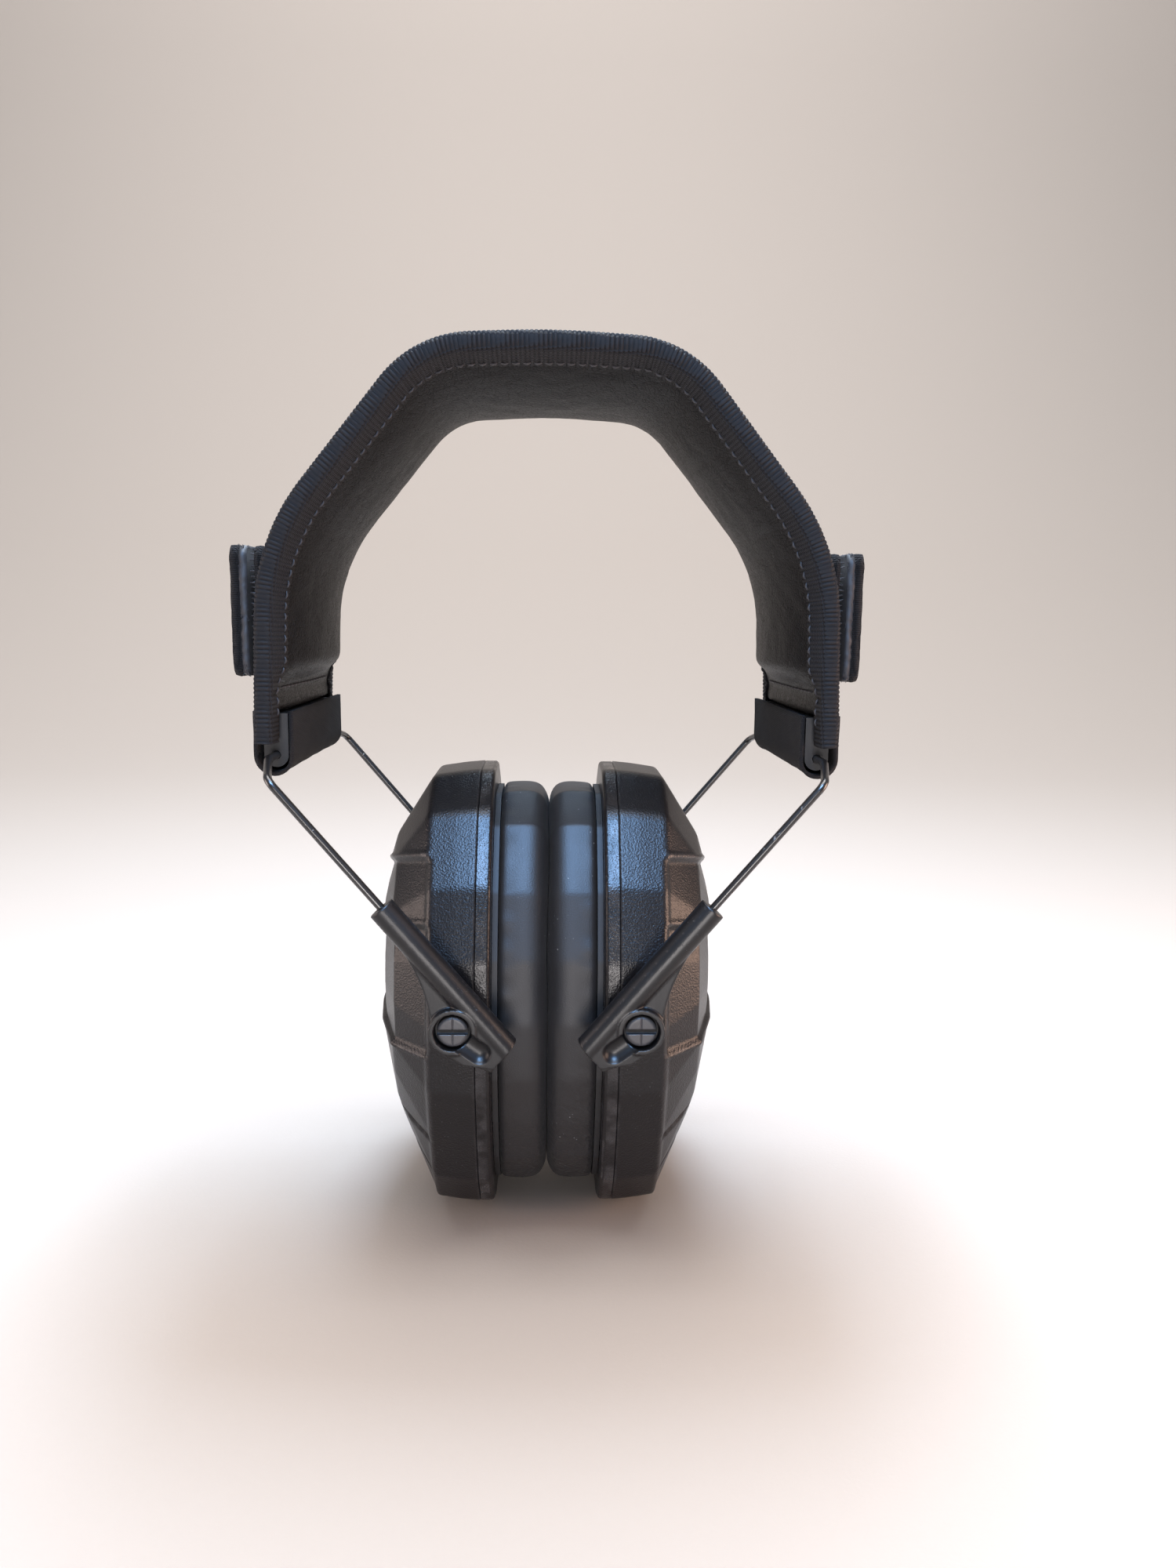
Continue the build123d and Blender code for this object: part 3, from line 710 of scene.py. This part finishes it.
def clothPlate(name, side, xNear, xFar, finish, body, stands=(), grow=0.0, ragged=0.25):
    outline = roundedPlate(patch["halfWidth"] + grow, patch["low"] - grow, patch["high"] + grow, 2.5, 60)
    middle = Vector((0, 0, (patch["low"] + patch["high"]) / 2))
    points = []
    shrinks = (0.0, 0.35, 0.7, 0.9, 0.97, 1.0)
    levels = [*[(xNear, s) for s in shrinks[1:]], ((xNear + xFar) / 2, 1.012),
              *[(xFar, s) for s in shrinks[:0:-1]]]
    for index, (x, share) in enumerate(levels):
        for spot in outline:
            at = middle + (spot - middle) * share
            edge = smoothStep(0.7, 1.0, share)
            at += (spot - middle).normalized() * edge * ragged * noise.noise(spot * 0.9 + Vector((x, 0, 0)))
            wave = 0.18 * noise.noise(Vector((at.y / 5, at.z / 5, x)))
            points.append(Vector((side * (x + wave), at.y, at.z)) * mm)
    faces = gridFaces(len(levels), len(outline), caps=True)
    cut = [(p.z, p.y) for p in points]
    newPiece(name, points, faces, finish, body, stands, cut)


def hooks(side):                           # rows of little bent hooks
    parts = []
    z = patch["low"] + 1.0
    row = 0
    while z < patch["high"] - 0.6:
        y = -patch["halfWidth"] + 1.0 + (row % 2) * patch["hookPitch"] / 2
        while y < patch["halfWidth"] - 0.6:
            rim = min(patch["halfWidth"] - abs(y), z - patch["low"], patch["high"] - z)
            if rim < 5.2:
                lean = random.uniform(-0.25, 0.25)
                root = Vector((patch["seam"] - 1.55, y, z))
                line = [root + Vector((0.0, 0, 0)), root + Vector((0.55, 0.04, lean * 0.4)),
                        root + Vector((1.05, 0.2, lean)), root + Vector((1.25, 0.5, lean)),
                        root + Vector((1.0, 0.75, lean))]
                line = [Vector((side * p.x, p.y, p.z)) * mm for p in line]
                parts.append(tube(line, patch["hookThick"] * mm, 4))
            y += patch["hookPitch"]
        z += patch["hookPitch"] * 0.8
        row += 1
    return gather(parts)


def fluff(side):                           # the tangle of loops round the edge of the soft patch
    parts = []
    for _ in range(520):
        along = random.uniform(0, 4)
        halfY, low, high = patch["halfWidth"] - 0.2, patch["low"] + 0.2, patch["high"] - 0.2
        if along < 2.6:
            y, z = random.uniform(-halfY, halfY), random.choice((low, high))
            outward = Vector((0, 0, 1 if z == high else -1))
        else:
            y, z = random.choice((-halfY, halfY)), random.uniform(low, high)
            outward = Vector((0, 1 if y > 0 else -1, 0))
        root = Vector((random.uniform(patch["seam"] + 0.25, patch["seam"] + 1.5), y, z))
        sway = Vector((random.uniform(-0.5, 0.5), 0, 0))
        sway += outward.cross(Vector((1, 0, 0))) * random.uniform(-0.9, 0.9)
        line = [root - outward * 0.3, root + outward * random.uniform(0.2, 0.55) + sway * 0.5,
                root + outward * 0.1 + sway, root - outward * 0.4 + sway]
        line = [Vector((side * p.x, p.y, p.z)) * mm for p in evenly(line, 0.3)]
        parts.append(tube(line, 0.055 * mm, 3))
    return gather(parts)


for sideName, side in sides:
    clothPlate(f"{sideName}PatchRiser", side, 60.1, patch["seam"] - 1.5, backingFinish, "headband",
               [f"{sideName}_patch_base"])
    points, faces = hooks(side)
    newPiece(f"{sideName}PatchHooks", points, faces, hookFinish, "headband")
    clothPlate(f"{sideName}PatchPile", side, patch["seam"] + 0.15, patch["seam"] + 1.7, loopFinish,
               f"{sideName}_patch", [f"{sideName}_patch"], ragged=0.5)
    clothPlate(f"{sideName}PatchFace", side, patch["seam"] + 1.7, patch["face"] - 0.2, backingFinish,
               f"{sideName}_patch", grow=0.1)
    points, faces = fluff(side)
    newPiece(f"{sideName}PatchFluff", points, faces, loopFinish, f"{sideName}_patch")
    border = [(Vector((side * (patch["face"] - 0.05), s.y, s.z)), Vector((side, 0, 0)))
              for s in roundedPlate(patch["halfWidth"] - 1.8, patch["low"] + 1.8, patch["high"] - 1.8, 1.5, 60)]
    border.append(border[0])
    points, faces = stitches(border, 2.6, 2.0, 0.18)
    newPiece(f"{sideName}PatchStitches", points, faces, threadBlack, f"{sideName}_patch")
print("patches made")

# cups
rimHalf = [(9.0, 107.0), (21.5, 99.5), (31.0, 84.5), (36.0, 69.0), (37.5, 54.0),
           (36.0, 39.5), (32.0, 27.0), (26.0, 14.5), (17.5, 4.5), (7.5, 0.0)]
cup = dict(middle=53.5, cornerRadius=6.0, step=0.7, rows=130, pivot=(19.57, 57.13))
# outer face: (height, slope towards the rim, depth) of each step, and (height, slope) of each groove
shellSteps = [(83.5, 0.24, 1.0), (69.0, 0.22, 0.8), (52.0, -0.1, -0.8)]
shellGrooves = [(36.0, -0.33), (25.5, -0.40)]


def rimOutline(step):
    corners = [Vector((0, y, z)) for y, z in rimHalf]
    corners += [Vector((0, -y, z)) for y, z in reversed(rimHalf)]
    ring = [corners[-1], *corners, corners[0]]
    start = (corners[-1] + corners[0]) / 2
    dots = bentLine([start, *corners, start], [cup["cornerRadius"]] * len(corners), 0.3)
    return evenly(dots[:-1], step, loop=True)


# depth of the shell from foot to middle: x, scale in y, scale in z, middle height
shellTiers = [(15.48, 0.992, 0.994, 53.5), (15.8, 1.0, 1.0, 53.5), (20.0, 0.992, 0.993, 53.5),
              (26.5, 0.972, 0.975, 53.5), (35.2, 0.80, 0.64, 57.5), (38.9, 0.50, 0.38, 59.3),
              (40.2, 0.26, 0.20, 60.0), (40.35, 0.02, 0.02, 60.0)]


def tierAt(share):
    lengths = [0.0]
    for first, second in zip(shellTiers, shellTiers[1:]):
        run = math.hypot(second[0] - first[0], (second[1] - first[1]) * 45)
        lengths.append(lengths[-1] + run)
    target = share * lengths[-1]
    for index in range(len(lengths) - 1):
        if target <= lengths[index + 1] or index == len(lengths) - 2:
            bit = (target - lengths[index]) / (lengths[index + 1] - lengths[index])
            return [a + (b - a) * bit for a, b in zip(shellTiers[index], shellTiers[index + 1])]


def shellPiece(sideName, side, outline):
    tiers = [tierAt(row / (cup["rows"] - 1)) for row in range(cup["rows"])]
    for _ in range(3):                     # rounds the edges between the tiers
        tiers = [tiers[0], tiers[1], *[[(a + 2 * b + c) / 4 for a, b, c in zip(*near)]
                 for near in zip(tiers[1:], tiers[2:], tiers[3:])], tiers[-1]]
    grid = [[Vector((x, s.y * sy, mid + (s.z - cup["middle"]) * sz)) for s in outline]
            for x, sy, sz, mid in tiers]
    count = len(outline)
    points = []
    for row, ring in enumerate(grid):
        outer = smoothStep(25.0, 27.5, tiers[row][0])
        for column, spot in enumerate(ring):
            along = ring[(column + 1) % count] - ring[column - 1]
            rise = grid[min(row + 1, len(grid) - 1)][column] - grid[max(row - 1, 0)][column]
            out = along.cross(rise)
            out = out.normalized() if out.length > 1e-6 else Vector((1, 0, 0))
            if out.dot(Vector((0.3, spot.y / 38, (spot.z - 53) / 54))) < 0:
                out.negate()
            y = abs(spot.y)
            sink = 0.0
            for height, slope, deep in shellSteps:
                above = spot.z - (height + slope * y)
                sink += deep * (1 - smoothStep(-0.4, 0.4, above))
                sink -= 0.4 * math.exp(-((above - 0.9 * (1 if deep > 0 else -1)) / 0.5) ** 2)
            for height, slope in shellGrooves:
                sink += 0.7 * math.exp(-((spot.z - (height + slope * y)) / 0.5) ** 2)
            points.append(spot - out * sink * outer)
    points = [Vector((side * p.x, p.y, p.z)) * mm for p in points]
    cap = tuple(range((len(grid) - 1) * count, len(grid) * count))
    newPiece(f"{sideName}CupShell", points, [*gridFaces(len(grid), count), cap], shellFinish,
             f"{sideName}_cup", [f"{sideName}_cup_shell"])


def pivotPads(side):
    parts = []
    for end in (1, -1):
        line = [Vector((side * cup["pivot"][0], end * y, cup["pivot"][1])) * mm
                for y in (30, 34, 37.0, 37.6, 37.9)]
        parts.append(tube(line, lambda t: (3.9 - 0.35 * smoothStep(0.9, 1.0, t)) * mm, 40))
    return gather(parts)


# cushions
cushion = dict(inset=5.0, hole=(0.44, 0.61), back=10.9, around=1.6, pressure=0.5, cap=0.7, fill=0.8,
               pleats=0.28)
cushionSection = [(0.03, 10.9), (0.0, 9.6), (0.0, 8.2), (0.0, 6.6), (0.0, 5.0), (0.012, 3.2), (0.06, 1.5),
                  (0.17, 0.5), (0.27, -0.2), (0.38, -0.6), (0.5, -0.7), (0.62, -0.6), (0.73, -0.2), (0.83, 0.5),
                  (0.91, 2.0), (0.965, 3.4), (0.99, 5.0), (1.0, 6.6), (1.0, 8.2), (1.0, 9.6), (0.97, 10.9),
                  (0.75, 10.9), (0.5, 10.9), (0.25, 10.9)]


def cushionPiece(sideName, side):
    outline = rimOutline(cushion["around"])
    count = len(outline)
    points = []
    for index, spot in enumerate(outline):
        along = (outline[(index + 1) % count] - outline[index - 1]).normalized()
        inward = Vector((0, -along.z, along.y))
        if inward.dot(Vector((0, 0, cup["middle"])) - spot) < 0:
            inward.negate()
        outer = spot + inward * cushion["inset"]
        wide, high = cushion["hole"]
        hole = Vector((0, spot.y * wide, cup["middle"] + (spot.z - cup["middle"]) * high))
        for share, x in cushionSection:
            at = outer.lerp(hole, share)
            gatherIn = smoothStep(6.0, 10.5, x) * (1 if share < 0.1 or share > 0.9 else 0)
            pleat = noise.noise(Vector((index * 0.55, share * 3, side * 7.0)))
            middle = outer.lerp(hole, 0.5)
            at += (middle - at).normalized() * gatherIn * cushion["pleats"] * (1 + 2.2 * pleat)
            soft = 0.22 * noise.noise(Vector((at.y / 9, at.z / 9, side * 3 + share)))
            points.append(Vector((side * (x + abs(soft) * smoothStep(0.05, 2.0, x)), at.y, at.z)) * mm)
    faces = gridFaces(count, len(cushionSection), loop=True)
    piece = newPiece(f"{sideName}Cushion", points, faces, vinylFinish, f"{sideName}_cup",
                     [f"{sideName}_cushion_skin", f"{sideName}_cushion_foam"])
    sewn = [i for i in range(len(points)) if i % len(cushionSection) in (0, 20, 21, 22, 23)]
    puff(piece, sewn, cushion["pressure"], cushion["cap"] * mm)
    for vertex in piece.data.vertices:     # the two faces meet along one slightly wavy surface
        wave = noise.noise(Vector((vertex.co.y / 0.008, vertex.co.z / 0.02, 4.0))) * 0.5 * mm
        vertex.co.x = side * max(vertex.co.x * side, wave * side + 0.03 * mm)
    settle(piece, "SUBSURF", levels=1)
    piece.data.shade_smooth()
    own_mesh(piece)


liner = dict(near=25.2, far=31.5, dimples=4.2)


def linerPiece(sideName, side, outline):
    rows = 26
    points = []
    for row in range(rows):
        share = 1 - row / (rows - 1) * 0.98
        for spot in outline:
            y, z = spot.y * 0.68 * share, 55.5 + (spot.z - 53.5) * 0.76 * share
            bulge = 0.5 * math.cos(y / liner["dimples"] * math.pi) * math.cos(z / liner["dimples"] * math.pi)
            soft = smoothStep(1.0, 0.86, share)
            points.append(Vector((side * (liner["near"] + 0.9 * (1 - soft) + 0.35 * bulge * soft), y, z)) * mm)
    back = [Vector((side * liner["far"] * mm, p.y * 0.84, 0.0565 + (p.z - 0.0555) * 0.72))
            for p in points[:len(outline)]]
    points = back + points
    faces = gridFaces(rows + 1, len(outline), caps=True)
    newPiece(f"{sideName}LinerFoam", points, faces, foamFinish, f"{sideName}_cup",
             [f"{sideName}_foam_liner"])


fine = rimOutline(cup["step"])
coarse = rimOutline(1.8)
for sideName, side in sides:
    shellPiece(sideName, side, fine)
    points, faces = pivotPads(side)
    newPiece(f"{sideName}PivotPads", points, faces, shellFinish, f"{sideName}_cup")
    cushionPiece(sideName, side)
    linerPiece(sideName, side, coarse)
print("cups made")


# moulded and metal parts: a softened copy for the arms and screws, a finish for the rest
def softened(node, name, voxel, passes, finish, body):
    mesh = bpy.data.objects[node].data.copy()
    piece = bpy.data.objects.new(name, mesh)
    bpy.context.scene.collection.objects.link(piece)
    dress(piece, finish, body, [node])
    settle(piece, "REMESH", mode="VOXEL", voxel_size=voxel * mm, use_smooth_shade=True)
    settle(piece, "SMOOTH", factor=0.5, iterations=passes)
    piece.data.materials.clear()
    piece.data.materials.append(finish)
    piece.data.shade_smooth()
    return piece


for sideName, side in sides:
    for end in ("front", "rear"):
        softened(f"{sideName}_{end}_arm", f"{sideName}{end.title()}ArmMoulding", 0.2, 4, armFinish,
                 f"{sideName}_arms")
    softened(f"{sideName}_pivot_screws", f"{sideName}PivotScrewHeads", 0.12, 1, headFinish,
             f"{sideName}_swivel")

kept = dict(band_spring=steelFinish, clip_rivets=steelFinish, end_clip=clipFinish, base_ring=ringFinish,
            shell_screws=screwFinish, cushion_plate=plateFinish, yoke_wire=wireFinish,
            wire_ferrules=ferruleFinish, pivot_washers=nylonFinish)
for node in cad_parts:
    plainName = node.replace("left_", "").replace("right_", "")
    if plainName in kept:
        shape = bpy.data.objects[node]
        shape.data.materials.clear()
        shape.data.materials.append(kept[plainName])
print("moulded parts finished")

# floor, light and camera
studio = dict(width=6.0, front=-0.32, flat=0.7, bend=1.2, rise=2.5, tone=(0.42, 0.39, 0.37))
rows, columns = 48, 12
paperLength = studio["flat"] - studio["front"] + studio["bend"] * math.pi / 2 + studio["rise"]
points = []
for row in range(rows):
    travel = paperLength * row / (rows - 1)
    turn = max(0.0, min(math.pi / 2, (travel + studio["front"] - studio["flat"]) / studio["bend"]))
    climb = max(0.0, travel + studio["front"] - studio["flat"] - studio["bend"] * math.pi / 2)
    y = min(travel + studio["front"], studio["flat"]) + studio["bend"] * math.sin(turn)
    z = studio["bend"] * (1 - math.cos(turn)) + climb
    points += [Vector((studio["width"] * (k / (columns - 1) - 0.5), y, z)) for k in range(columns)]
mesh = bpy.data.meshes.new("studioFloor")
mesh.from_pydata([tuple(p) for p in points], [], gridFaces(rows, columns, round=False))
floor = bpy.data.objects.new("studioFloor", mesh)
bpy.context.scene.collection.objects.link(floor)
floor.data.shade_smooth()
paper = Finish("studioPaper")
paper.use(color=paper.blend(paper.speckle(400, 4), studio["tone"], tuple(c * 0.985 for c in studio["tone"])),
          rough=0.9, specular=0.1, normal=paper.bump(paper.speckle(1200, 3), 0.00004))
floor.data.materials.append(paper.material)

# still air, a little brighter above the horizon than below it
world = bpy.data.worlds.new("studioAir")
air = Finish("studioAir", world)
_, toBack, up = air.axes(air.node("ShaderNodeTexCoord", out=0))
glow = up.above(0.1, 0.5) * 0.3 + toBack.above(0.2, 0.6) * 0.1 + 0.03
air.tree.links.new(glow.socket, air.shader.inputs["Strength"])
air.shader.inputs["Color"].default_value = (0.92, 0.95, 1.0, 1)
bpy.context.scene.world = world

lamps = dict(
    sky=dict(at=(0.0, -0.335, 0.49), size=0.22, power=7.5, tint=(0.30, 0.56, 1.0), onFloor=False),
    upper=dict(at=(0.02, 0.14, 0.60), size=0.18, power=5.5, tint=(0.66, 0.82, 1.0)),
    low=dict(at=(0.0, -0.46, 0.03), size=0.16, power=1.4, tint=(1.0, 0.94, 0.92)),
    warm=dict(at=(0.44, -0.10, 0.10), size=0.24, power=2.3, tint=(1.0, 0.66, 0.50)),
    fill=dict(at=(-0.44, -0.10, 0.10), size=0.24, power=1.2, tint=(1.0, 0.80, 0.72)),
    back=dict(at=(0.0, 0.2, 2.2), aim=(0, 1.3, 0.5), size=1.6, power=80.0, tint=(1.0, 0.96, 0.93)))
for name, lamp in lamps.items():
    data = bpy.data.lights.new(f"{name}Panel", "AREA")
    data.shape = "SQUARE"
    data.size = lamp["size"]
    data.energy = lamp["power"]
    data.color = lamp["tint"]
    panel = bpy.data.objects.new(f"{name}Panel", data)
    panel.location = lamp["at"]
    toward = Vector(lamp.get("aim", (0, 0, 0.1))) - panel.location
    panel.rotation_euler = toward.to_track_quat("-Z", "Y").to_euler()
    panel.visible_diffuse = lamp.get("onFloor", True)
    bpy.context.scene.collection.objects.link(panel)
bpy.context.scene.view_settings.view_transform = "Standard"

view = dict(at=(0, -0.253, 0.1416), ahead=(0.0369, 0.98753, -0.15306), lens=24.37, roll=0.7)
cameraData = bpy.data.cameras.new("studioCamera")
cameraData.lens = view["lens"]
cameraData.sensor_width = 36
cameraData.clip_start = 0.01
camera = bpy.data.objects.new("studioCamera", cameraData)
aim = Vector(view["ahead"]).to_track_quat("-Z", "Y").to_matrix()
aim = aim @ Matrix.Rotation(math.radians(view["roll"]), 3, "Z")
camera.location = view["at"]
camera.rotation_euler = aim.to_euler()
bpy.context.scene.collection.objects.link(camera)
bpy.context.scene.camera = camera
print("stage set")
